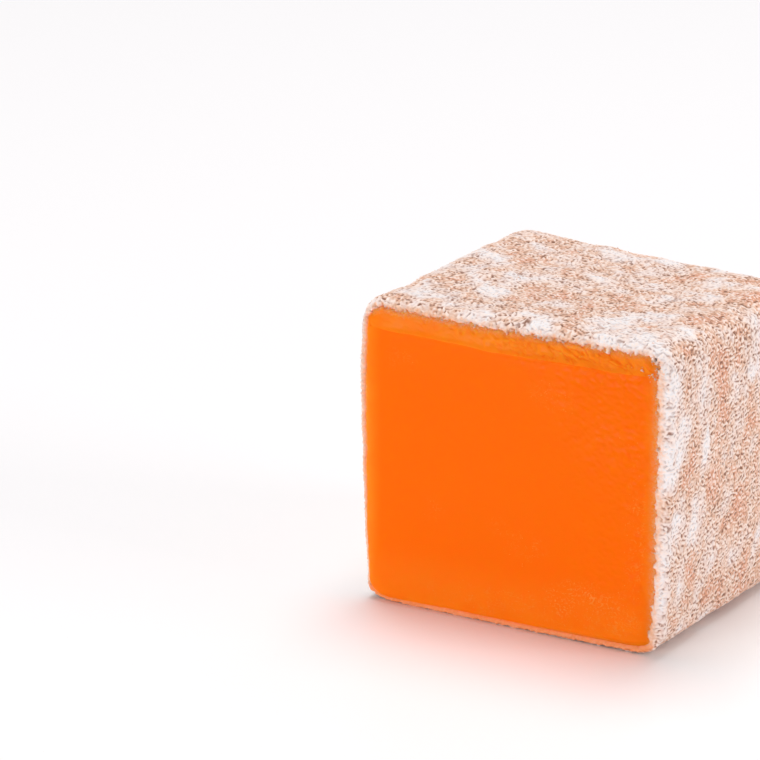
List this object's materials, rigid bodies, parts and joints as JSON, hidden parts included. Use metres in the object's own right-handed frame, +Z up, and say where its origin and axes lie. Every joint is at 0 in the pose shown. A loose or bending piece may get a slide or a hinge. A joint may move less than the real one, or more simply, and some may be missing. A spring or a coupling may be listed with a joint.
{
  "type": "turkish delight",
  "caption": "Cut block of orange jelly sweet coated in pale powder, with one smooth bare side and a flat base to rest on.",
  "frame": {"origin": "centre of the bounding box in plan, on the flat base", "axes": "+Z up, -Y out of the smooth cut side, +X to the right as the cut side is seen, along the longest extent"},
  "size_m": [0.028, 0.0258, 0.0255],
  "materials": {
    "powder_crust": "matte",
    "orange_jelly": "gloss"
  },
  "bodies": {
    "root": {"turkish_delight": "powder_crust"}
  },
  "joints": []
}
